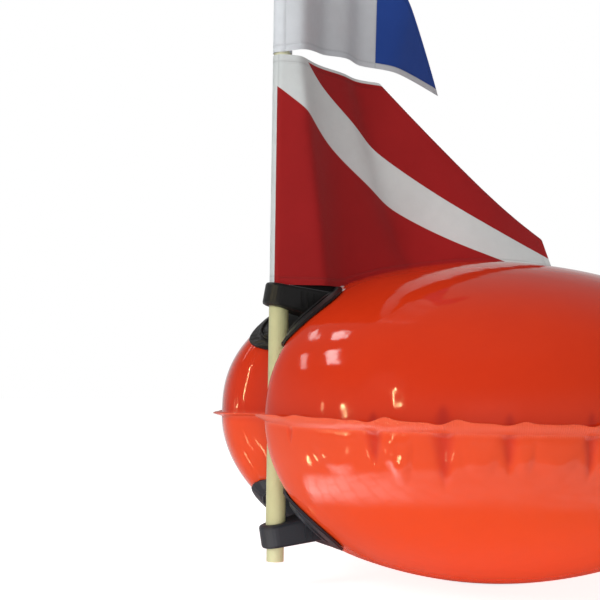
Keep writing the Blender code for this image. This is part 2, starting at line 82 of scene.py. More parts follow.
def make_camera():
    camera = new_object("photo_camera", bpy.data.cameras.new("photo_camera"))
    camera.data.sensor_width = SENSOR_MM
    camera.data.lens = SENSOR_MM * FOCAL_PX / PICTURE_PX
    back = Vector((math.sin(CAMERA_AZIMUTH), -math.cos(CAMERA_AZIMUTH), 0))
    place = Vector((MAST_X, 0, SEAM_Z + CAMERA_RISE)) + back * CAMERA_DISTANCE
    level = Matrix.Rotation(CAMERA_AZIMUTH, 4, "Z") @ Matrix.Rotation(math.pi / 2, 4, "X")
    turn = Matrix.Rotation(-CAMERA_YAW, 4, "Y") @ Matrix.Rotation(CAMERA_PITCH, 4, "X")
    roll = Matrix.Rotation(CAMERA_ROLL, 4, "Z")
    camera.matrix_world = Matrix.Translation(place) @ level @ turn @ roll
    bpy.context.scene.camera = camera


bpy.context.scene.view_settings.view_transform = "Standard"
make_camera()


# Floor: a pale matt sheet under the float, which shows white to the camera and fades in gloss.
# Round the mast end the float also mirrors a paved stretch in the sun, which only gloss sees.
# The sunlit stretch is a crescent: each pair below is where one of its sides starts and ends to fade.
FLOOR_R = 6.0
FLOOR_DROP = 0.0004
FLOOR_GREY = (0.60, 0.60, 0.60)
FLOOR_GLOW = 0.86
FLOOR_FADE = (0.25, 0.48)
SUNLIT_GLOW = 5.5
SUNLIT_INNER = (0.268, 0.325)
SUNLIT_OUTER = (0.335, 0.375)
SUNLIT_WIDENING = 0.10
SUNLIT_WIDE_FROM = 0.25
SUNLIT_NEAR_END = (-0.06, 0.02)
SUNLIT_FAR_END = (0.15, 1.05)


def add_node(tree, kind, inputs=None, **settings):
    """New shader node: settings by name, and inputs as {socket: constant or output}."""
    node = tree.nodes.new("ShaderNode" + kind)
    for key, value in settings.items():
        setattr(node, key, value)
    for key, value in (inputs or {}).items():
        socket = node.inputs[key]
        if isinstance(value, bpy.types.NodeSocket):
            tree.links.new(value, socket)
        elif socket.type == "RGBA":
            socket.default_value = (*value, 1)
        else:
            socket.default_value = value
    return node


def calc(tree, operation, *values, clamp=False):
    """One Math node, with each value a constant or an output."""
    return add_node(tree, "Math", dict(enumerate(values)), operation=operation, use_clamp=clamp).outputs[0]


def product(tree, *values):
    total = values[0]
    for value in values[1:]:
        total = calc(tree, "MULTIPLY", total, value)
    return total


def eased(tree, value, span, low, high):
    """Smooth change from low to high as the value crosses the span."""
    ends = {"Value": value, "From Min": span[0], "From Max": span[1], "To Min": low, "To Max": high}
    return add_node(tree, "MapRange", ends, interpolation_type="SMOOTHSTEP").outputs["Result"]


def noise(tree, place, scale, detail, roughness=0.5):
    inputs = {"Vector": place, "Scale": scale, "Detail": detail, "Roughness": roughness}
    return add_node(tree, "TexNoise", inputs).outputs["Fac"]


def new_material(name, color, roughness, metallic=0.0):
    mat = bpy.data.materials.new(name)
    mat.use_nodes = True
    shader = mat.node_tree.nodes["Principled BSDF"]
    shader.inputs["Base Color"].default_value = (*color, 1)
    shader.inputs["Roughness"].default_value = roughness
    shader.inputs["Metallic"].default_value = metallic
    return mat, mat.node_tree, shader


def background_share(tree, fading):
    """1 for camera and transmission rays, and the fading value for glossy rays; otherwise 0."""
    path = add_node(tree, "LightPath").outputs
    share = calc(tree, "MULTIPLY", path["Is Glossy Ray"], fading)
    share = calc(tree, "MAXIMUM", share, path["Is Camera Ray"])
    return calc(tree, "MAXIMUM", share, path["Is Transmission Ray"])


def sunlit_share(tree, place, radius):
    """Glow of the sunlit crescent, by the angle round the float from the mast and the radius."""
    part = add_node(tree, "SeparateXYZ", {0: place}).outputs
    near, left = (calc(tree, "MULTIPLY", part[axis], -1.0) for axis in ("Y", "X"))
    angle = calc(tree, "ARCTAN2", near, left)
    wider = calc(tree, "MULTIPLY", calc(tree, "MAXIMUM", angle, SUNLIT_WIDE_FROM), SUNLIT_WIDENING)
    paving = add_node(tree, "TexBrick", {"Vector": place, "Scale": 9.0, "Mortar Size": 0.030,
                                         "Mortar Smooth": 0.6, "Bias": 0.0}).outputs["Fac"]
    return product(
        tree,
        eased(tree, radius, SUNLIT_INNER, 0.0, 1.0),
        eased(tree, calc(tree, "SUBTRACT", radius, wider), SUNLIT_OUTER, 1.0, 0.0),
        eased(tree, angle, SUNLIT_NEAR_END, 0.0, 1.0),
        eased(tree, angle, SUNLIT_FAR_END, 1.0, 0.25),
        eased(tree, noise(tree, place, scale=14.0, detail=2.0), (0.35, 0.65), 0.65, 1.0),
        eased(tree, paving, (0.0, 1.0), SUNLIT_GLOW, SUNLIT_GLOW * 0.6),
        add_node(tree, "LightPath").outputs["Is Glossy Ray"])


def make_floor():
    bm = bmesh.new()
    bmesh.ops.create_circle(bm, cap_ends=True, segments=96, radius=FLOOR_R)
    mesh = bpy.data.meshes.new("floor")
    bm.to_mesh(mesh)
    bm.free()
    floor = new_object("floor", mesh)
    floor.location.z = cad_bounds[0][2] - FLOOR_DROP
    mat, tree, shader = new_material("floor_pale", FLOOR_GREY, 0.8)
    shader.inputs["Specular IOR Level"].default_value = 0.1
    place = add_node(tree, "TexCoord").outputs["Object"]
    radius = add_node(tree, "VectorMath", {0: place}, operation="LENGTH").outputs["Value"]
    share = background_share(tree, eased(tree, radius, FLOOR_FADE, 0.0, 0.5))
    none = add_node(tree, "Emission", {"Strength": 0.0})
    pale = add_node(tree, "Emission", {"Strength": FLOOR_GLOW})
    shown = add_node(tree, "MixShader", {0: share, 1: none.outputs[0], 2: pale.outputs[0]})
    sunlit = add_node(tree, "Emission", {"Strength": sunlit_share(tree, place, radius)})
    glow = add_node(tree, "AddShader", {0: shown.outputs[0], 1: sunlit.outputs[0]})
    total = add_node(tree, "AddShader", {0: shader.outputs[0], 1: glow.outputs[0]})
    tree.links.new(total.outputs[0], tree.nodes["Material Output"].inputs["Surface"])
    mesh.materials.append(mat)


make_floor()


# Room and lamps.
# The room is pale and even, and the camera sees it white. Square lamps light the colours and stay
# out of the gloss. Window panes and warm strips show only in the gloss of the near lobe.
ROOM_TINT = (0.97, 0.98, 1.0, 1)
ROOM_LIGHT = 0.27
ROOM_FADE = (0.05, 0.55)
CAMERA_SIDE = math.degrees(CAMERA_AZIMUTH) - 90
LAMP_DISTANCE = 2.3
LAMP_TARGET = Vector((-0.10, -0.08, SEAM_Z + 0.05))
PANE_DISTANCE = 2.0
WARM = (1.0, 0.82, 0.40)
LOBE = (-0.248, -0.115, SEAM_Z + 0.072)
FLOOR_LIGHT_Z = cad_bounds[0][2] + 0.002
UP = (0, 0, 1)
EAST = (1, 0, 0)


def make_room():
    world = bpy.data.worlds.new("studio")
    bpy.context.scene.world = world
    world.use_nodes = True
    tree = world.node_tree
    soft = tree.nodes["Background"]
    soft.inputs["Color"].default_value = ROOM_TINT
    soft.inputs["Strength"].default_value = ROOM_LIGHT
    white = add_node(tree, "Background", {"Color": (1, 1, 1), "Strength": 1.0})
    around = add_node(tree, "TexCoord").outputs["Generated"]
    height = add_node(tree, "SeparateXYZ", {0: around}).outputs["Z"]
    share = background_share(tree, eased(tree, height, ROOM_FADE, 0.5, 0.0))
    mix = add_node(tree, "MixShader", {0: share, 1: soft.outputs[0], 2: white.outputs[0]})
    tree.links.new(mix.outputs[0], tree.nodes["World Output"].inputs["Surface"])


def aim(azimuth, elevation):
    a, e = math.radians(azimuth), math.radians(elevation)
    return Vector((math.cos(e) * math.cos(a), math.cos(e) * math.sin(a), math.sin(e)))


def area_lamp(name, place, facing, across, size, power, color=(1, 1, 1), diffuse=True, glossy=True):
    """Rectangular lamp: its first side runs along 'across', and it shines along 'facing'."""
    data = bpy.data.lights.new(name, "AREA")
    data.shape = "RECTANGLE"
    data.size, data.size_y = size
    data.energy = power
    data.color = color
    back = -Vector(facing).normalized()
    first = (Vector(across) - back * back.dot(Vector(across))).normalized()
    turn = Matrix((first, back.cross(first), back)).transposed().to_4x4()
    lamp = new_object(name, data)
    lamp.matrix_world = Matrix.Translation(place) @ turn
    lamp.visible_camera = False
    lamp.visible_diffuse = diffuse
    lamp.visible_glossy = glossy


def far_lamp(name, middle, start, end, width, power, color=(1, 1, 1)):
    """Lamp that only gloss sees, between two directions from the middle, each (azimuth, elevation)."""
    first, last = aim(*start), aim(*end)
    place = (first + last).normalized()
    size = ((last - first).length * PANE_DISTANCE, width)
    spot = Vector(middle) + place * PANE_DISTANCE
    area_lamp(name, spot, -place, last - first, size, power, color, diffuse=False)


make_room()
# Name, azimuth, elevation, direction of the first side, length of a side and watts.
for name, azimuth, elevation, across, side, power in (
        ("key_lamp", CAMERA_SIDE - 50, 26, UP, 0.8, 20),
        ("front_lamp", CAMERA_SIDE - 8, 2, UP, 0.8, 14.5),
        ("top_lamp", -115, 74, EAST, 1.4, 12),
        ("back_lamp", 90, 25, UP, 1.2, 6),
        ("fill_lamp", -20, 20, UP, 1.2, 1.5)):
    way = aim(azimuth, elevation)
    area_lamp(name, LAMP_TARGET + way * LAMP_DISTANCE, -way, across, (side, side), power, glossy=False)
# Name, the two ends as (azimuth, elevation), width and watts.
for name, start, end, width, power in (
        ("pane_upper_left", (107.0, 40.9), (119.2, 42.7), 0.12, 0.62),
        ("pane_upper_right", (117.3, 51.4), (130.5, 51.8), 0.15, 1.25),
        ("pane_lower_left", (133.0, 35.7), (147.4, 27.4), 0.13, 1.3),
        ("pane_lower_right", (145.4, 46.5), (161.0, 37.5), 0.18, 4.1)):
    far_lamp(name, LOBE, start, end, width, power)
# Name, the place on the float that mirrors the strip, its two ends, width and watts.
for name, (x, y, rise), start, end, width, power in (
        ("strip_crescent", (-0.213, -0.202, 0.026), (-161.5, 23.0), (-154.3, 6.5), 0.028, 7.5),
        ("strip_tick", (-0.245, -0.164, 0.013), (-179.1, 5.5), (-178.2, -1.0), 0.012, 3.0),
        ("strip_dull", (-0.259, -0.141, 0.014), (169.4, 6.0), (170.2, 1.0), 0.035, 0.5)):
    far_lamp(name, (x, y, SEAM_Z + rise), start, end, width, power, WARM)
area_lamp("lit_floor", (-0.02, 0, FLOOR_LIGHT_Z), UP, EAST, (0.86, 0.86), 1.5, glossy=False)
# Place on the floor, direction of the long side, size and watts.
for k, (x, y, along, size, power) in enumerate((
        (-0.535, -0.345, (0.82, 0.57, 0), (0.150, 0.010), 0.30),
        (-0.620, -0.205, (1, 0.05, 0), (0.200, 0.008), 0.20),
        (-0.467, -0.010, (0.97, -0.25, 0), (0.075, 0.008), 0.10))):
    area_lamp("floor_glint_%d" % k, (x, y, FLOOR_LIGHT_Z), UP, along, size, power, WARM, diffuse=False)


# Inflated float: two sheets of glossy orange PVC, welded together round the edge and blown up.
# Short hollows run from the weld into both sheets with bulges between them, the weld's flange
# curls up along the sides, and a notch at the mast end leaves two lobes with the mast between.
UPPER, LOWER = 1, -1
BODY_R = 0.2954
RISE = {UPPER: 0.1720, LOWER: 0.1803}
PROFILE_POWER = {UPPER: 2.443, LOWER: 2.028}
PROFILE_ROOT = {UPPER: 0.561, LOWER: 0.551}
NOTCH_DEPTH = 0.0751
NOTCH_HALF = 0.0342
NOTCH_SPREAD = 0.24
NOTCH_TOP = 0.82
NOTCH_FADE = 2.39
NOTCH_SHARPNESS = 5
NOTCH_ANGLE = 0.30
NOTCH_CALM = 0.85
SEAM_BASE = 0.00135
SEAM_PULL = 0.0032
SEAM_PULL_REACH = 0.014
REST_R = 0.042
REST_LEVEL = (1 - (REST_R / BODY_R) ** (1 / PROFILE_ROOT[LOWER])) ** (1 / PROFILE_POWER[LOWER])
LAST_LEVEL = {UPPER: 0.99999, LOWER: REST_LEVEL}
COLUMNS = 1080
COLUMN_CROWDING = 0.45
LEVELS = 64
LEVEL_CROWDING = 1.35
# The hollows in the photograph: angle from the mast, half width, reach and strength.
SEEN_HOLLOWS = ((-0.355, 0.0040, 0.020, 0.5), (-0.688, 0.0085, 0.036, 1.0),
                (-0.911, 0.0110, 0.056, 1.0), (-1.11, 0.0080, 0.040, 0.9))
# The other hollows lie between two angles, and each is drawn from these ranges.
HIDDEN_FROM = -1.36
HIDDEN_TO = 0.42 - 2 * math.pi
HIDDEN_HALF = (0.007, 0.011)
HIDDEN_REACH = (0.034, 0.055)
HIDDEN_STRENGTH = (0.7, 1.0)
HIDDEN_SPACING = (0.19, 0.27)
HOLLOW_DEPTH = {UPPER: 0.00042, LOWER: 0.0042}
HOLLOW_REACH = {UPPER: 0.4, LOWER: 1.0}
HOLLOW_TIP = 0.20
HOLLOW_MOUTH = 0.92
BULGE_SHARE = {UPPER: 0.08, LOWER: 1.0}
BULGE_RISE = 0.0030
BULGE_REACH = 0.044
BULGE_RIM = 1.10
BULGE_SLOPE = 0.62
LONE_BULGE = (-0.775, 0.0125, 0.052, 0.0052)
LONE_BULGE_GAP = 1
WELD_STIFF = 0.004
WELD_SHOWS = 0.0022
FLANGE_W = 0.01008
FLANGE_WIDENS = 0.0006
FLANGE_TILT = 12
FLANGE_CURL = 40
FLANGE_LEVEL_TO = (0.24, 0.95)
# Beside each hollow the flange lifts and then dips: angle off the hollow, degrees and widening.
FLANGE_BUMP = (-0.045, 11, 0.20)
FLANGE_DIP = (0.012, -8, -0.10)
FLANGE_BUMP_HALF = 0.0080
# Rows of the flange from its edge inwards: share of the width, half thickness, and how strongly the weld's
# ribs, roughness and painted highlight show.
FLANGE_ROWS = ((1.0, 0.0, 1.0), (1.0, 0.0004, 1.0), (0.8, 0.0005, 0.95),
               (0.55, 0.0006, 0.85), (0.3, 0.0007, 0.7), (0.1, 0.0010, 0.5))
RIB_PITCH = 0.0021
# Pale colour along the weld: a painted highlight where the weld catches the light.
WELD_PAINTED_HIGHLIGHT = (0.98, 0.22, 0.13)
# Colours of each sheet: clean, handled, and in a hollow, where they are darkened as painted shade.
# Both sheets are one orange PVC: the upper colours are painted darker as painted shade, and the lower ones
# lighter as painted light from below.
UPPER_ORANGE_PAINTED_SHADE = ((0.65, 0.037, 0.006), (0.58, 0.028, 0.006), (0.46, 0.018, 0.006))
LOWER_ORANGE_PAINTED_LIGHT = ((0.84, 0.076, 0.016), (0.79, 0.064, 0.013), (0.62, 0.030, 0.008))


def ring_radius(angle, level, side=UPPER):
    """Plan radius of the sheet at an angle from the mast and a level from 0 at the seam to 1."""
    across = np.abs(BODY_R * np.sin(angle))
    half = NOTCH_HALF * (1 + NOTCH_SPREAD * level)
    bite = np.where(np.cos(angle) > 0, 1 / (1 + (across / half) ** NOTCH_SHARPNESS), 0.0)
    depth = NOTCH_DEPTH * np.maximum(0.0, 1 - (level / NOTCH_TOP) ** NOTCH_FADE)
    body = np.maximum(0.0, 1 - level ** PROFILE_POWER[side]) ** PROFILE_ROOT[side]
    return body * (BODY_R - depth * bite)


def mesh_object(name, verts, faces):
    mesh = bpy.data.meshes.new(name)
    mesh.from_pydata([tuple(v) for v in verts], [], faces)
    mesh.update()
    mesh.polygons.foreach_set("use_smooth", [True] * len(mesh.polygons))
    return new_object(name, mesh)


def mark(obj, name, values):
    """Keep one number for each vertex, for the material to read."""
    layer = obj.data.attributes.new(name, "FLOAT", "POINT")
    layer.data.foreach_set("value", np.asarray(values, dtype=np.float32))


def unit(vectors):
    return vectors / np.maximum(1e-12, np.linalg.norm(vectors, axis=-1, keepdims=True))


def angle_gap(angle, place):
    return (angle - place + math.pi) % (2 * math.pi) - math.pi


def hollow_places():
    """The hollows that the photograph shows, and uneven ones all round the rest of the weld."""
    rng = np.random.default_rng(11)
    hollows = list(SEEN_HOLLOWS)
    place = HIDDEN_FROM
    while place > HIDDEN_TO:
        half, reach = rng.uniform(*HIDDEN_HALF), rng.uniform(*HIDDEN_REACH)
        hollows.append((place, half, reach, rng.uniform(*HIDDEN_STRENGTH)))
        place -= rng.uniform(*HIDDEN_SPACING)
    return hollows


def bulge_places(hollows):
    """Angle, half width, reach and height: a narrow bulge by each hollow and a broad one in each gap.

    One gap in the photograph holds a lone bulge instead.
    """
    bulges = []
    for k, (before, (place, half, reach, _)) in enumerate(zip(hollows, hollows[1:])):
        if k == LONE_BULGE_GAP:
            bulges.append(LONE_BULGE)
            continue
        gap = before[0] - place
        shoulder = 0.0055 + 0.85 * half
        bulges.append((place - 1.15 * shoulder / BODY_R, 0.75 * shoulder, reach, BULGE_RISE))
        bulges.append((before[0] - 0.58 * gap, 0.30 * gap * BODY_R, BULGE_REACH, BULGE_RISE))
    return bulges


HOLLOWS = hollow_places()
BULGES = bulge_places(HOLLOWS)


def relief_of(angle, down, side):
    """How far the sheet lies inside its smooth form, and how much a point lies in a hollow."""
    depth = np.zeros_like(down)
    inside = np.zeros_like(down)
    for place, half, reach, strength in HOLLOWS:
        across = angle_gap(angle, place) * BODY_R
        left = np.clip(1 - down / (reach * HOLLOW_REACH[side]), 0.0, 1.0)
        width = half * (HOLLOW_TIP + (HOLLOW_MOUTH - HOLLOW_TIP) * left ** 0.9)
        cut = strength * np.exp(-np.abs(across / width) ** 2.2)
        depth += HOLLOW_DEPTH[side] * cut * left ** 0.6
        inside += cut * np.clip(left * 3, 0, 1)
    for place, half, reach, height in BULGES:
        across = np.abs(angle_gap(angle, place)) * BODY_R
        edge = np.sqrt((across / half) ** 2 + (down / reach) ** 3)
        rise = np.clip((BULGE_RIM - edge) / BULGE_SLOPE, 0.0, 1.0)
        rise = rise * rise * (3 - 2 * rise)
        depth -= BULGE_SHARE[side] * height * (down / reach) * rise
    return depth * np.minimum(1.0, down / WELD_STIFF), np.clip(inside, 0, 1)


def flange_form(angle):
    """Upward tilt and width of the weld flange: level at the mast end, curled and wavy along the sides."""
    side = 1 - np.exp(-(angle / np.where(angle < 0, *FLANGE_LEVEL_TO)) ** 4)
    tilt = FLANGE_TILT + FLANGE_CURL * side
    width = FLANGE_W + FLANGE_WIDENS * side
    for place, _, _, strength in HOLLOWS:
        wider = 0.0
        for shift, degrees, widening in (FLANGE_BUMP, FLANGE_DIP):
            off = angle_gap(angle, place + shift) * BODY_R / FLANGE_BUMP_HALF
            share = strength * side * np.exp(-off ** 2)
            tilt = tilt + degrees * share
            wider = wider + widening * share
        width = width * (1 + wider)
    waves = 3 * np.sin(23 * angle) + 2 * np.sin(57 * angle + 1)
    return np.radians(tilt + waves * side), width


def flange_rows(edge, around, angles, side):
    """Rings of the flange, from its outer edge in to the sheet's own edge."""
    out = unit(np.stack([around[:, 1], -around[:, 0], 0 * angles], -1))
    out *= np.sign(np.sum(out * edge * np.array([1, 1, 0]), axis=-1, keepdims=True))
    tilt, width = flange_form(angles)
    rows = []
    for share, half_thick, _ in FLANGE_ROWS:
        curl = tilt * (0.55 + 0.45 * share)
        row = edge + out * (width * share * np.cos(curl))[:, None]
        row[:, 2] = edge[:, 2] - side * (SEAM_BASE - half_thick) + width * share * np.sin(curl)
        rows.append(row)
    return np.array(rows)


def make_panel(name, side):
    """One sheet: rings of points from the flange's edge to the middle of the top or bottom."""
    t = -math.pi + 2 * math.pi * np.arange(COLUMNS) / COLUMNS
    angles = t - COLUMN_CROWDING * np.sin(t)
    levels = LAST_LEVEL[side] * np.sin(math.pi / 2 * np.linspace(0, 1, LEVELS + 1) ** LEVEL_CROWDING)
    angle, level = np.meshgrid(angles, levels)
    radius = ring_radius(angle, level, side)
    height = SEAM_BASE + (RISE[side] - SEAM_BASE) * level
    sheet = np.stack([-radius * np.cos(angle), radius * np.sin(angle), SEAM_Z + side * height], -1)
    down = np.zeros_like(level)
    down[1:] = np.cumsum(np.linalg.norm(sheet[1:] - sheet[:-1], axis=-1), axis=0)
    around = np.roll(sheet, -1, axis=1) - np.roll(sheet, 1, axis=1)
    normal = unit(np.cross(around, np.gradient(sheet, axis=0)))
    normal *= np.sign(np.sum(normal * (sheet - np.array([0, 0, SEAM_Z])), axis=-1, keepdims=True))
    depth, inside = relief_of(angle, down, side)
    notch = np.exp(-(angles / NOTCH_ANGLE) ** 4)
    sheet = sheet - normal * (depth * (1 - NOTCH_CALM * notch))[..., None]
    sheet[:, :, 2] -= SEAM_PULL * (1 - notch) * np.exp(-(down / SEAM_PULL_REACH) ** 2)

    grid = np.concatenate([flange_rows(sheet[0], around[0], angles, side), sheet], axis=0)
    count = grid.shape[0]
    verts = np.concatenate([grid.reshape(-1, 3), [[0, 0, grid[-1, 0, 2]]]])
    last = (count - 1) * COLUMNS
    faces = []
    for row in range(0, last, COLUMNS):
        for i in range(COLUMNS):
            k = (i + 1) % COLUMNS
            faces.append((row + i, row + k, row + COLUMNS + k, row + COLUMNS + i))
    faces += [(last + i, last + (i + 1) % COLUMNS, len(verts) - 1) for i in range(COLUMNS)]
    if side == UPPER:
        faces = [face[::-1] for face in faces]
    obj = mesh_object(name, verts, faces)
    # The weld mark pales the colour as a painted highlight and adds the weld's ribs and roughness. The
    # hollow mark darkens the colour as painted shade.
    weld_ribs_and_highlight = np.repeat([row[2] for row in FLANGE_ROWS], COLUMNS)
    mark(obj, "weld", np.concatenate([weld_ribs_and_highlight, np.exp(-(down / WELD_SHOWS) ** 2).ravel(), [0]]))
    mark(obj, "hollow", np.concatenate([0 * weld_ribs_and_highlight, inside.ravel(), [0]]))
    mark(obj, "around", np.concatenate([np.tile(np.unwrap(angles) * BODY_R, count), [0]]))
    return obj


def new_group(name, inputs, outputs):
    """Empty shader group: inputs as {name: default}, outputs as {name: kind of socket}."""
    tree = bpy.data.node_groups.new(name, "ShaderNodeTree")
    for label, default in inputs.items():
        is_color = isinstance(default, tuple)
        kind = "NodeSocketColor" if is_color else "NodeSocketFloat"
        socket = tree.interface.new_socket(label, in_out="INPUT", socket_type=kind)
        socket.default_value = (*default, 1) if is_color else default
    for label, kind in outputs.items():
        tree.interface.new_socket(label, in_out="OUTPUT", socket_type="NodeSocket" + kind)
    return tree, tree.nodes.new("NodeGroupInput").outputs, tree.nodes.new("NodeGroupOutput").inputs


def place_group(tree, group, inputs):
    return add_node(tree, "Group", inputs, node_tree=group).outputs


def blend(tree, factor, first, second):
    return add_node(tree, "Mix", {0: factor, 6: first, 7: second}, data_type="RGBA").outputs[2]


def painted(tree, name):
    return add_node(tree, "Attribute", attribute_name=name).outputs["Fac"]


def make_wear_group():
    """Blotches of tone and gloss: handling marks on a surface."""
    tree, given, out = new_group(
        "handling_wear", {"Clean": (0.5, 0.5, 0.5), "Marked": (0.4, 0.4, 0.4), "Amount": 0.5,
                          "Scale": 20.0, "Smooth": 0.2, "Dull": 0.4},
        {"Color": "Color", "Roughness": "Float"})
    place = add_node(tree, "TexCoord").outputs["Object"]
    broad = noise(tree, place, given["Scale"], detail=5.0, roughness=0.62)
    fine = noise(tree, place, calc(tree, "MULTIPLY", given["Scale"], 9.0), detail=3.0, roughness=0.6)
    both = calc(tree, "MULTIPLY_ADD", broad, 0.75, calc(tree, "MULTIPLY", fine, 0.25))
    mask = calc(tree, "MULTIPLY_ADD", both, 2.6, -0.85, clamp=True)
    amount = calc(tree, "MULTIPLY", mask, given["Amount"])
    tree.links.new(blend(tree, amount, given["Clean"], given["Marked"]), out["Color"])
    span = calc(tree, "SUBTRACT", given["Dull"], given["Smooth"])
    tree.links.new(calc(tree, "MULTIPLY_ADD", mask, span, given["Smooth"]), out["Roughness"])
    return tree


def make_relief_group():
    """Fine grain over a slower swell, with an extra height of the material's own, as a normal."""
    tree, given, out = new_group(
        "surface_relief", {"Swell Scale": 30.0, "Swell Height": 0.5, "Grain Scale": 500.0,
                           "Grain Height": 0.05, "Extra": 0.0, "Depth": 0.001},
        {"Normal": "Vector"})
    place = add_node(tree, "TexCoord").outputs["Object"]
    height = given["Extra"]
    for layer, detail in (("Swell", 3.0), ("Grain", 2.0)):
        wave = noise(tree, place, given[layer + " Scale"], detail)
        height = calc(tree, "MULTIPLY_ADD", wave, given[layer + " Height"], height)
    bump = add_node(tree, "Bump", {"Height": height, "Distance": given["Depth"], "Strength": 1.0})
    tree.links.new(bump.outputs["Normal"], out["Normal"])
    return tree


WEAR = make_wear_group()
RELIEF = make_relief_group()


def wear_on(tree, clean, marked, amount, scale, smooth, dull):
    """Colour and roughness of a surface that has been handled."""
    return place_group(tree, WEAR, {"Clean": clean, "Marked": marked, "Amount": amount, "Scale": scale,
                                    "Smooth": smooth, "Dull": dull})


def relief_on(tree, swell, grain, depth, extra=0.0):
    """Normal of a surface: swell and grain are each (scale, height)."""
    return place_group(tree, RELIEF, {"Swell Scale": swell[0], "Swell Height": swell[1],
                                      "Grain Scale": grain[0], "Grain Height": grain[1],
                                      "Extra": extra, "Depth": depth})["Normal"]


def pvc_material(name, base, marked, hollow_painted_shade):
    """Glossy PVC sheet: cloudy tone, painted shade in the hollows, a painted highlight and fine cross ribs
    along the weld.
    """
    mat, tree, shader = new_material(name, base, 0.2)
    wear = wear_on(tree, base, marked, amount=0.55, scale=7.0, smooth=0.045, dull=0.10)
    weld = painted(tree, "weld")
    # In the hollows the colour darkens towards the hollow colour: painted shade.
    shaded = blend(tree, calc(tree, "MULTIPLY", painted(tree, "hollow"), 0.9), wear["Color"], hollow_painted_shade)
    # Along the weld the colour pales: painted highlight.
    color = blend(tree, calc(tree, "MULTIPLY", weld, 0.22), shaded, WELD_PAINTED_HIGHLIGHT)
    turns = calc(tree, "MULTIPLY", painted(tree, "around"), 2 * math.pi / RIB_PITCH)
    ribs = product(tree, calc(tree, "SINE", turns), weld, 0.07)
    tree.links.new(color, shader.inputs["Base Color"])
    tree.links.new(calc(tree, "MULTIPLY_ADD", weld, 0.16, wear["Roughness"]), shader.inputs["Roughness"])
    relief = relief_on(tree, swell=(21.0, 0.55), grain=(380.0, 0.02), depth=0.0012, extra=ribs)
    tree.links.new(relief, shader.inputs["Normal"])
    shader.inputs["IOR"].default_value = 1.33
    return mat


for side, name, node, slot, orange in (
        (UPPER, "float_top", "upper_panel", "orange_pvc", UPPER_ORANGE_PAINTED_SHADE),
        (LOWER, "float_bottom", "lower_panel", "orange_pvc_lower", LOWER_ORANGE_PAINTED_LIGHT)):
    skin = make_panel(name, side)
    skin.data.materials.append(pvc_material(name + "_pvc", *orange))
    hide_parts(node)
    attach(skin, "float")


# Mast brackets: two black nylon mouldings, one above the seam and one below it.
# Each has a rounded saddle with a raised rim, bonded over the notch, and an arm with ribs that
# ends in a ring round the mast.
BRACKET_BLACK = (0.0060, 0.0058, 0.0058)
BRACKET_RUBBED = (0.013, 0.012, 0.012)
# The lower bracket is the same black nylon as the upper one, painted lighter and bluer: painted light from
# below.
LOW_BRACKET_BLACK_PAINTED_LIGHT = (0.018, 0.020, 0.027)
LOW_BRACKET_RUBBED_PAINTED_LIGHT = (0.027, 0.029, 0.034)


def handled_material(name, base, marked, amount, scale, smooth, dull, metallic=0.0):
    """Material whose colour and roughness come from the wear alone; returns the material and its parts."""
    mat, tree, shader = new_material(name, base, smooth, metallic)
    wear = wear_on(tree, base, marked, amount, scale, smooth, dull)
    tree.links.new(wear["Color"], shader.inputs["Base Color"])
    tree.links.new(wear["Roughness"], shader.inputs["Roughness"])
    return mat, tree, shader


def moulded_material(name, base, marked, smooth=0.30, dull=0.52):
    """Moulded plastic: a fine spark grain from the mould, and rubbed patches."""
    mat, tree, shader = handled_material(name, base, marked, amount=0.8, scale=38.0,
                                         smooth=smooth, dull=dull)
    relief = relief_on(tree, swell=(90.0, 0.25), grain=(1400.0, 0.22), depth=0.0004)
    tree.links.new(relief, shader.inputs["Normal"])
    shader.inputs["Specular IOR Level"].default_value = 0.28
    return mat


def dress(node, mat):
    """Give a CAD piece its material."""
    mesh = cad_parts[node].data
    mesh.materials.clear()
    mesh.materials.append(mat)


dress("upper_mast_bracket", moulded_material("bracket_black", BRACKET_BLACK, BRACKET_RUBBED))
# The lower bracket's material carries that painted light.
dress("lower_mast_bracket", moulded_material("bracket_black_low_painted_light", LOW_BRACKET_BLACK_PAINTED_LIGHT, LOW_BRACKET_RUBBED_PAINTED_LIGHT))


# Mast: a cream plastic tube held by the two rings, a thinner foot below and a thinner pole above.
# All three are extruded, with faint lengthwise draw lines and hand marks. A grey plug closes the
# foot's end, and a black cap the pole's.
MAST_CREAM = (0.60, 0.585, 0.315)
MAST_SOILED = (0.52, 0.505, 0.26)
FOOT_CREAM = (0.66, 0.66, 0.38)
FOOT_SOILED = (0.58, 0.57, 0.32)
POLE_CREAM = (0.72, 0.71, 0.50)
POLE_SOILED = (0.62, 0.60, 0.40)
PLUG_GREY = (0.030, 0.030, 0.031)
PLUG_RUBBED = (0.045, 0.045, 0.044)
CAP_BLACK = (0.012, 0.012, 0.012)
CAP_RUBBED = (0.022, 0.022, 0.022)
DRAWN_STRETCH = (1, 1, 0.02)


def tube_material(name, base, marked):
    """Extruded tube: noise drawn out along its length makes the draw lines."""
    mat, tree, shader = handled_material(name, base, marked, amount=0.7, scale=26.0,
                                         smooth=0.30, dull=0.50)
    place = add_node(tree, "TexCoord").outputs["Object"]
    drawn = add_node(tree, "Mapping", {"Vector": place, "Scale": DRAWN_STRETCH}).outputs["Vector"]
    lines = calc(tree, "MULTIPLY", noise(tree, drawn, scale=420.0, detail=3.0), 0.35)
    relief = relief_on(tree, swell=(40.0, 0.3), grain=(900.0, 0.05), depth=0.0004, extra=lines)
    tree.links.new(relief, shader.inputs["Normal"])
    return mat


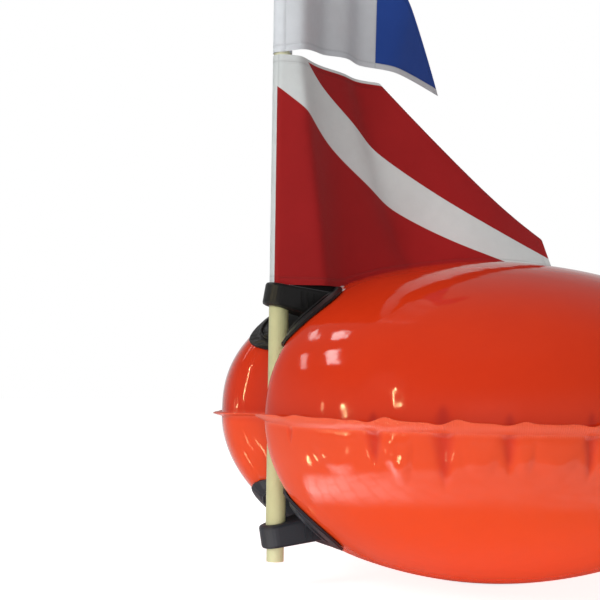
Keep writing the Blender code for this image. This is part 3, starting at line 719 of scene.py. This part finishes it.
dress("mast_tube", tube_material("mast_cream", MAST_CREAM, MAST_SOILED))
dress("foot_pole", tube_material("foot_cream", FOOT_CREAM, FOOT_SOILED))
dress("upper_pole", tube_material("pole_cream", POLE_CREAM, POLE_SOILED))
dress("foot_plug", moulded_material("plug_grey", PLUG_GREY, PLUG_RUBBED, smooth=0.40, dull=0.60))
dress("pole_cap", moulded_material("cap_black", CAP_BLACK, CAP_RUBBED, smooth=0.36, dull=0.55))


# Flags: woven nylon, each sewn round the pole in a pocket, with turned and stitched hems.
# The lower one is red with a white diagonal; its top outer corner is folded back behind it, and its
# lower edge lies on the float. The upper one is white and blue with a swallowtail cut.
POCKET_R = 0.0101
POCKET_WRAP = math.radians(322)
POCKET_STEPS = 40
CLOTH_COLUMNS = 150
CLOTH_ROWS = 100
TRACK_STEPS = 400
FLAG_LENGTH = 0.340
DIVER_BOTTOM = SEAM_Z + 0.1392
DIVER_HOIST = 0.2405
DIVER_LEAVES = 5
DIVER_TWIST = 32.3
DIVER_SAG = 0.024
DIVER_SAG_GROWTH = 0.186
SIGNAL_BOTTOM = SEAM_Z + 0.3825
SIGNAL_HOIST = 0.235
SIGNAL_LEAVES = 6.3
SIGNAL_TWIST = -3.5
SIGNAL_ARCH = 0.0184
SIGNAL_LIFT = 0.0113
SWALLOW_CUT = 0.0977
CORNER_U = 0.1454
CORNER_RUN = 1.0467
CORNER_R = 0.0045
CROWN_PRESS = 0.0004
CROWN_FADE = 3.2
ARM_DIP = 0.0018
ARM_FADE = 3
ARM_END = 0.077
ARM_END_SOFT = 0.002
RIGHT = Vector((math.cos(CAMERA_AZIMUTH), math.sin(CAMERA_AZIMUTH), 0))
AWAY = Vector((-math.sin(CAMERA_AZIMUTH), math.cos(CAMERA_AZIMUTH), 0))
# Folds: place along the cloth at its lower edge, lean of the fold up the cloth, turn in degrees
# and softness.
DIVER_FOLDS = ((0.0481, -0.1246, 57.4, 0.0025), (0.0891, -0.1246, -28.3, 0.009),
               (0.1585, -0.2419, 30.0, 0.007), (0.1805, -0.2419, -63.3, 0.006),
               (0.2805, -0.2419, 33.9, 0.020))
SIGNAL_FOLDS = ((0.0209, 0.0, 70.0, 0.004), (0.110, 0.0, -36.0, 0.006), (0.1467, 0.0, 31.9, 0.006),
                (0.1929, 0.0, -51.8, 0.006), (0.238, 0.036 / SIGNAL_HOIST, 31.1, 0.006))
STRIPE_HALF = 0.0293
STRIPE_SHIFT = 0.0086
POCKET_EDGE = -0.0063
TOP_HEM = 0.0030
SIGNAL_WHITE = 0.214
SIGNAL_LOW_HEM = 0.0075
HEM = 0.0080
STITCH_IN = 0.0070
SIGNAL_POCKET_STITCH = 0.0015
DIVER_POCKET_STITCH = -0.0050
THREAD_PITCH = 0.0007
SIGNAL_BLUE = (0.029, 0.083, 0.38)
SIGNAL_BARE = (0.74, 0.77, 0.80)
DIVER_RED = (0.345, 0.0145, 0.0155)
DIVER_BARE = (0.67, 0.70, 0.69)
CLOTH_SHADE = (0.03, 0.03, 0.03)


def heading_vector(turn):
    return RIGHT * math.cos(turn) + AWAY * math.sin(turn)


def left_of(way):
    return Vector((-way.y, way.x, 0))


def crown_height(x, y):
    """Height of the float's top at a plan point, by halving the level range."""
    reach, angle = math.hypot(x, y), math.atan2(y, -x)
    low, high = 0.0, 1.0
    if reach >= float(ring_radius(angle, 0.0)):
        return SEAM_Z
    for _ in range(22):
        mid = (low + high) / 2
        low, high = (mid, high) if float(ring_radius(angle, mid)) > reach else (low, mid)
    return SEAM_Z + SEAM_BASE + (RISE[UPPER] - SEAM_BASE) * low


def fold_step(u, place, width):
    """0 before a fold of the cloth and 1 after it."""
    return 1 / (1 + math.exp(min(60, (place - u) / width)))


def folded(folds, u, v):
    """Degrees that the folds have turned the cloth by, u along it from the pole and v up it."""
    return sum(turn * fold_step(u, place + lean * v, soft) for place, lean, turn, soft in folds)


def diver_turn(u, v):
    """The cloth leaves the pole gently, turns sharply away at a fold, and comes back at a second one."""
    twist = DIVER_TWIST * (v / DIVER_HOIST - 0.5) * u / FLAG_LENGTH
    return math.radians(DIVER_LEAVES + twist + folded(DIVER_FOLDS, u, v))


def signal_turn(u, v):
    """Upright folds: five turns of the cloth between the pole and the fly."""
    twist = SIGNAL_TWIST * v / SIGNAL_HOIST * u / FLAG_LENGTH
    return math.radians(SIGNAL_LEAVES + twist + folded(SIGNAL_FOLDS, u, v))


def diver_rise(point, u, v):
    """The cloth sags outwards at its top, and its lower edge rests on the bracket's arm and the float."""
    high = min(1.0, v / DIVER_HOIST)
    over = max(0.0, crown_height(point.x, point.y) - CROWN_PRESS - DIVER_BOTTOM)
    dip = ARM_DIP * (1 - fold_step(u, ARM_END, ARM_END_SOFT))
    sag = DIVER_SAG * u + DIVER_SAG_GROWTH * u ** 2
    return over * (1 - high) ** CROWN_FADE - dip * (1 - high) ** ARM_FADE - sag * high


def signal_rise(point, u, v):
    """The lower edge arches up between the pole and the fly; the top stays straight."""
    arch = SIGNAL_ARCH * math.sin(math.pi * u / FLAG_LENGTH) + SIGNAL_LIFT * u / FLAG_LENGTH
    return arch * (1 - v / SIGNAL_HOIST)


def signal_length(v):
    return FLAG_LENGTH - SWALLOW_CUT * (1 - abs(2 * v / SIGNAL_HOIST - 1))


def full_length(v):
    return FLAG_LENGTH


def fold_corner(u, v):
    """Where a point of the cloth lies once the corner is folded, and how far behind the front layer."""
    normal = Vector((1, CORNER_RUN)).normalized()
    past = (u - CORNER_U) * normal.x + (v - DIVER_HOIST) * normal.y
    if past <= 0:
        return u, v, 0.0
    if past < math.pi * CORNER_R:
        flat = CORNER_R * math.sin(past / CORNER_R)
        behind = CORNER_R * (1 - math.cos(past / CORNER_R))
    else:
        flat = -(past - math.pi * CORNER_R)
        behind = 2 * CORNER_R
    return u + normal.x * (flat - past), v + normal.y * (flat - past), behind


def no_fold(u, v):
    return u, v, 0.0


def cloth_track(turn, v):
    """Plan points of the cloth at one height, in even steps along it from the pole."""
    point = Vector((MAST_X, 0, 0)) - left_of(heading_vector(turn(0.0, v))) * POCKET_R
    track = [point]
    step = FLAG_LENGTH / TRACK_STEPS
    for k in range(TRACK_STEPS):
        point = point + heading_vector(turn(step * (k + 0.5), v)) * step
        track.append(point)
    return track


def make_flag(name, bottom, hoist, turn, rise, reach, fold):
    """Cloth from the pocket round the pole out to the fly, row by row from the lower edge."""
    tracks = {}

    def plan(u, v):
        key = round(v, 4)
        if key not in tracks:
            tracks[key] = cloth_track(turn, key)
        place = max(0.0, min(TRACK_STEPS - 1e-6, u / FLAG_LENGTH * TRACK_STEPS))
        k = int(place)
        return tracks[key][k].lerp(tracks[key][k + 1], place - k)

    verts, us, vs, ends = [], [], [], []
    for j in range(CLOTH_ROWS + 1):
        v = hoist * j / CLOTH_ROWS
        along = heading_vector(turn(0.0, v))
        for i in range(POCKET_STEPS):
            phi = -POCKET_WRAP * (1 - i / POCKET_STEPS)
            spoke = along * math.sin(phi) - left_of(along) * math.cos(phi)
            verts.append(Vector((MAST_X, 0, bottom + v)) + spoke * POCKET_R)
            us.append(POCKET_R * phi)
            ends.append(1.0)
        length = reach(v)
        for i in range(CLOTH_COLUMNS + 1):
            u = length * i / CLOTH_COLUMNS
            lie_u, lie_v, behind = fold(u, v)
            point = plan(lie_u, lie_v)
            point = point + left_of(heading_vector(turn(lie_u, lie_v))) * behind
            verts.append(Vector((point.x, point.y, bottom + lie_v + rise(point, lie_u, lie_v))))
            us.append(u)
            ends.append(length - u)
        vs += [v] * (POCKET_STEPS + CLOTH_COLUMNS + 1)
    width = POCKET_STEPS + CLOTH_COLUMNS + 1
    faces = []
    for j in range(CLOTH_ROWS):
        for a in range(j * width, (j + 1) * width - 1):
            faces.append((a, a + 1, a + width + 1, a + width))
    obj = mesh_object(name, verts, faces)
    mark(obj, "cloth_u", us)
    mark(obj, "cloth_v", vs)
    mark(obj, "cloth_end", ends)
    return obj


def make_weave_group():
    """Plain weave: height of crossing threads."""
    tree, given, out = new_group("plain_weave", {"U": 0.0, "V": 0.0, "Pitch": 0.0006}, {"Height": "Float"})
    waves = []
    for label in ("U", "V"):
        turns = calc(tree, "DIVIDE", given[label], given["Pitch"])
        waves.append(calc(tree, "SINE", calc(tree, "MULTIPLY", turns, 2 * math.pi)))
    tree.links.new(calc(tree, "MULTIPLY_ADD", product(tree, *waves), 0.5, 0.5), out["Height"])
    return tree


def make_stitch_group():
    """Row of stitches along one coordinate at a place on the other, and the cloth pulled in beside it."""
    tree, given, out = new_group(
        "stitch_row", {"Along": 0.0, "Across": 0.0, "Place": 0.0, "Length": 0.0026, "Width": 0.0006},
        {"Thread": "Float", "Pull": "Float"})
    off = calc(tree, "ABSOLUTE", calc(tree, "SUBTRACT", given["Across"], given["Place"]))
    near = calc(tree, "SUBTRACT", 1.0, calc(tree, "DIVIDE", off, given["Width"]), clamp=True)
    turns = calc(tree, "DIVIDE", given["Along"], given["Length"])
    wave = calc(tree, "SINE", calc(tree, "MULTIPLY", turns, 2 * math.pi))
    run = calc(tree, "MULTIPLY_ADD", wave, 2.2, 0.9, clamp=True)
    wide = calc(tree, "MULTIPLY", given["Width"], 4.0)
    pull = calc(tree, "SUBTRACT", 1.0, calc(tree, "DIVIDE", off, wide), clamp=True)
    tree.links.new(calc(tree, "MULTIPLY", near, run), out["Thread"])
    tree.links.new(pull, out["Pull"])
    return tree


WEAVE = make_weave_group()
STITCH = make_stitch_group()


def beyond(tree, value, edge, width=0.0004):
    """1 where the value is past the edge, with a soft border."""
    return calc(tree, "MULTIPLY_ADD", calc(tree, "SUBTRACT", value, edge), 1 / width, 0.5, clamp=True)


def within(tree, value, edge, width=0.0004):
    return calc(tree, "SUBTRACT", 1.0, beyond(tree, value, edge, width))


def diver_mask(tree, u, v):
    """1 where the cloth is white: the diagonal, the pocket and the top hem."""
    line = calc(tree, "MULTIPLY_ADD", u, DIVER_HOIST / FLAG_LENGTH, v)
    off = calc(tree, "ABSOLUTE", calc(tree, "SUBTRACT", line, DIVER_HOIST - STRIPE_SHIFT))
    stripe_or_pocket = calc(tree, "MAXIMUM", within(tree, off, STRIPE_HALF), within(tree, u, POCKET_EDGE))
    return calc(tree, "MAXIMUM", stripe_or_pocket, beyond(tree, v, DIVER_HOIST - TOP_HEM))


def signal_mask(tree, u, v):
    """1 where the cloth is white: the half next to the pole and the lower hem."""
    return calc(tree, "MAXIMUM", within(tree, u, SIGNAL_WHITE), within(tree, v, SIGNAL_LOW_HEM))


def flag_material(name, color, white, mask_of, hoist, rows):
    """Dyed nylon with a white part, a weave, crumples, hems and stitch rows given as (axis, place)."""
    mat, tree, shader = new_material(name, color, 0.7)
    u, v, end = (painted(tree, label) for label in ("cloth_u", "cloth_v", "cloth_end"))
    tones = []
    for tint in (color, white):
        creased = tuple(c * 0.80 for c in tint)
        tones.append(wear_on(tree, tint, creased, amount=0.6, scale=11.0, smooth=0.62, dull=0.80)["Color"])
    cloth = blend(tree, mask_of(tree, u, v), *tones)
    to_edge = calc(tree, "MINIMUM", calc(tree, "MINIMUM", v, end), calc(tree, "SUBTRACT", hoist, v))
    thread, pull = 0.0, 0.0
    for axis, place in rows:
        across, along = {"u": (u, v), "v": (v, u), "end": (end, v)}[axis]
        row = place_group(tree, STITCH, {"Along": along, "Across": across, "Place": place})
        thread = calc(tree, "MAXIMUM", row["Thread"], thread)
        pull = calc(tree, "MAXIMUM", row["Pull"], pull)
    # The stitch threads are darkened as the thread's own colour. The pulled-in cloth beside them is
    # darkened as painted shade.
    darker = calc(tree, "MULTIPLY_ADD", pull, 0.10, calc(tree, "MULTIPLY", thread, 0.16))
    tree.links.new(blend(tree, darker, cloth, CLOTH_SHADE), shader.inputs["Base Color"])
    weave = place_group(tree, WEAVE, {"U": u, "V": v, "Pitch": THREAD_PITCH})
    height = calc(tree, "MULTIPLY", weave["Height"], 0.10)
    height = calc(tree, "MULTIPLY_ADD", within(tree, to_edge, HEM, 0.0006), 0.40, height)
    height = calc(tree, "MULTIPLY_ADD", pull, -0.35, height)
    relief = relief_on(tree, swell=(24.0, 1.6), grain=(300.0, 0.10), depth=0.0011, extra=height)
    tree.links.new(relief, shader.inputs["Normal"])
    shader.inputs["Sheen Weight"].default_value = 0.04
    shader.inputs["Sheen Roughness"].default_value = 0.5
    shader.inputs["Specular IOR Level"].default_value = 0.12
    return mat


signal = make_flag("signal_cloth_piece", SIGNAL_BOTTOM, SIGNAL_HOIST, signal_turn, signal_rise,
                   signal_length, no_fold)
signal.data.materials.append(flag_material(
    "signal_nylon", SIGNAL_BLUE, SIGNAL_BARE, signal_mask, SIGNAL_HOIST,
    (("u", SIGNAL_POCKET_STITCH), ("v", STITCH_IN), ("v", SIGNAL_HOIST - STITCH_IN),
     ("u", SIGNAL_WHITE), ("end", STITCH_IN))))
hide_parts("signal_flag")
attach(signal, "signal_flag")

diver = make_flag("diver_cloth_piece", DIVER_BOTTOM, DIVER_HOIST, diver_turn, diver_rise,
                  full_length, fold_corner)
diver.data.materials.append(flag_material(
    "diver_nylon", DIVER_RED, DIVER_BARE, diver_mask, DIVER_HOIST,
    (("u", DIVER_POCKET_STITCH), ("v", STITCH_IN), ("v", DIVER_HOIST - STITCH_IN), ("end", STITCH_IN))))
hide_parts("diver_flag")
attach(diver, "diver_flag")


# Valve on the far half of the top, through which the float is blown up.
# A soft dark grey body is welded into the upper sheet, and a black moulded stopper pushes into it.
VALVE_GREY = (0.040, 0.040, 0.043)
VALVE_RUBBED = (0.060, 0.060, 0.060)
STOPPER_BLACK = (0.016, 0.016, 0.016)
STOPPER_RUBBED = (0.028, 0.028, 0.028)
dress("valve_body", moulded_material("valve_soft", VALVE_GREY, VALVE_RUBBED, smooth=0.42, dull=0.62))
dress("valve_plug",
      moulded_material("valve_stopper", STOPPER_BLACK, STOPPER_RUBBED, smooth=0.36, dull=0.55))


# Gear points at the far end and on both sides: a welded patch, a webbing keeper and a steel ring.
# The patch is cut from the float's own PVC. The keeper is woven polyester, sewn down through both
# feet, and the ring that swings in it is bent and welded wire.
STRAP_BORE = 0.00280
STRAP_T = 0.0016
STRAP_HALF = 0.0110
STRAP_FOOT = 0.0160
STRAP_BEND = 0.0007
STRAP_GAP = 0.0004
STRAP_RIM = 24
STRAP_SIDE_ROUND = 0.35
STRAP_FACE_ROUND = 0.6
STRAP_THREAD = 0.0014
FOOT_STITCHES = (0.0011, 0.0029)
STITCH_LENGTH = 0.0016
STITCH_WIDTH = 0.0003
STRAP_BLACK = (0.010, 0.010, 0.011)
STRAP_STITCH = (0.055, 0.055, 0.055)
STEEL = (0.62, 0.62, 0.60)
STEEL_STAINED = (0.50, 0.49, 0.46)
PATCH_ORANGE = (0.74, 0.060, 0.008)
PATCH_SOILED = (0.62, 0.045, 0.008)


def webbing_material(name, base, length):
    """Black webbing: coarse weave along the strap, dusty wear, two rows of stitches through each foot."""
    mat, tree, shader = new_material(name, base, 0.85)
    dusty = tuple(c * 2.5 for c in base)
    wear = wear_on(tree, base, dusty, amount=0.7, scale=60.0, smooth=0.75, dull=0.9)
    along, over = painted(tree, "strap_along"), painted(tree, "strap_over")
    thread = 0.0
    for place in FOOT_STITCHES + tuple(length - place for place in FOOT_STITCHES):
        row = place_group(tree, STITCH, {"Along": over, "Across": along, "Place": place,
                                         "Length": STITCH_LENGTH, "Width": STITCH_WIDTH})
        thread = calc(tree, "MAXIMUM", row["Thread"], thread)
    color = blend(tree, thread, wear["Color"], STRAP_STITCH)
    tree.links.new(color, shader.inputs["Base Color"])
    tree.links.new(wear["Roughness"], shader.inputs["Roughness"])
    weave = place_group(tree, WEAVE, {"U": along, "V": over, "Pitch": STRAP_THREAD})
    relief = relief_on(tree, swell=(120.0, 0.2), grain=(1500.0, 0.3), depth=0.0006, extra=weave["Height"])
    tree.links.new(relief, shader.inputs["Normal"])
    return mat


def strap_path():
    """Middle line of the strap over the ring, along and above the patch, and the ring's height."""
    mid, lift = STRAP_BORE + STRAP_T / 2, STRAP_GAP + STRAP_BORE + STRAP_T
    start, run = -STRAP_FOOT, STRAP_FOOT - mid - STRAP_BEND
    foot = [(start + run * k / 8, STRAP_T / 2) for k in range(9)]
    bend = [(-mid - STRAP_BEND * (1 - k / 4) ** 2, STRAP_T / 2 + STRAP_BEND * (k / 4) ** 2)
            for k in range(1, 5)]
    turns = [math.pi * (1 - k / 24) for k in range(25)]
    arch = [(mid * math.cos(t), lift + mid * math.sin(t)) for t in turns]
    back = [(-s, h) for s, h in reversed(foot + bend)]
    return np.array(foot + bend + arch + back), lift


def keeper_frame(solid, lift):
    """Place of the ring's bar, and the directions across the strap, up along it and out of the patch."""
    points = [v.co for v in solid.vertices]
    rough = sum(points, Vector()) / len(points)
    out = max(solid.polygons, key=lambda face: face.area).normal.normalized()
    if out.dot(rough - Vector((0, 0, SEAM_Z))) < 0:
        out = -out
    across = Vector((0, 0, 1)).cross(out).normalized()
    up = out.cross(across)
    reach = [[(p - rough).dot(way) for p in points] for way in (across, up, out)]
    pivot = rough + across * (min(reach[0]) + max(reach[0])) / 2 + up * (min(reach[1]) + max(reach[1])) / 2
    return pivot + out * (min(reach[2]) + lift), across, up, out


def make_keeper(prefix):
    """Strap over the ring's straight side, with soft edges and flat stitched feet."""
    path, lift = strap_path()
    pivot, across, up, out = keeper_frame(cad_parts[prefix + "_keeper"].data, lift)
    step = unit(np.gradient(path, axis=0))
    along = np.concatenate([[0], np.cumsum(np.linalg.norm(np.diff(path, axis=0), axis=1))])
    turns = 2 * math.pi * np.arange(STRAP_RIM) / STRAP_RIM
    wide = STRAP_HALF * np.sign(np.cos(turns)) * np.abs(np.cos(turns)) ** STRAP_SIDE_ROUND
    thick = STRAP_T / 2 * np.sign(np.sin(turns)) * np.abs(np.sin(turns)) ** STRAP_FACE_ROUND
    verts = []
    for (s, h), (ds, dh) in zip(path, step):
        for w, t in zip(wide, thick):
            place = pivot + across * float(w) + up * float(s - dh * t)
            verts.append(place + out * float(h - lift + ds * t))
    last = (len(path) - 1) * STRAP_RIM
    faces = []
    for row in range(0, last, STRAP_RIM):
        for k in range(STRAP_RIM):
            j = (k + 1) % STRAP_RIM
            faces.append((row + k, row + j, row + STRAP_RIM + j, row + STRAP_RIM + k))
    faces += [tuple(range(STRAP_RIM - 1, -1, -1)), tuple(range(last, last + STRAP_RIM))]
    strap = mesh_object(prefix + "_strap", verts, faces)
    mark(strap, "strap_along", np.repeat(along, STRAP_RIM))
    mark(strap, "strap_over", np.tile(wide, len(path)))
    strap.data.materials.append(webbing_material(prefix + "_webbing", STRAP_BLACK, float(along[-1])))
    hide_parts(prefix + "_keeper")
    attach(strap, "float")


def patch_material(name):
    """Matt side of the PVC, scuffed by the ring."""
    mat, tree, shader = handled_material(name, PATCH_ORANGE, PATCH_SOILED, amount=0.6, scale=22.0,
                                         smooth=0.16, dull=0.32)
    relief = relief_on(tree, swell=(60.0, 0.3), grain=(700.0, 0.08), depth=0.0006)
    tree.links.new(relief, shader.inputs["Normal"])
    return mat


def steel_material(name):
    """Bright wire with dull water stains."""
    return handled_material(name, STEEL, STEEL_STAINED, amount=0.6, scale=120.0, smooth=0.14, dull=0.34,
                            metallic=1.0)[0]


for prefix in ("tow", "left", "right"):
    dress(prefix + "_patch", patch_material(prefix + "_patch_pvc"))
    make_keeper(prefix)
    dress(prefix + "_ring", steel_material(prefix + "_steel"))
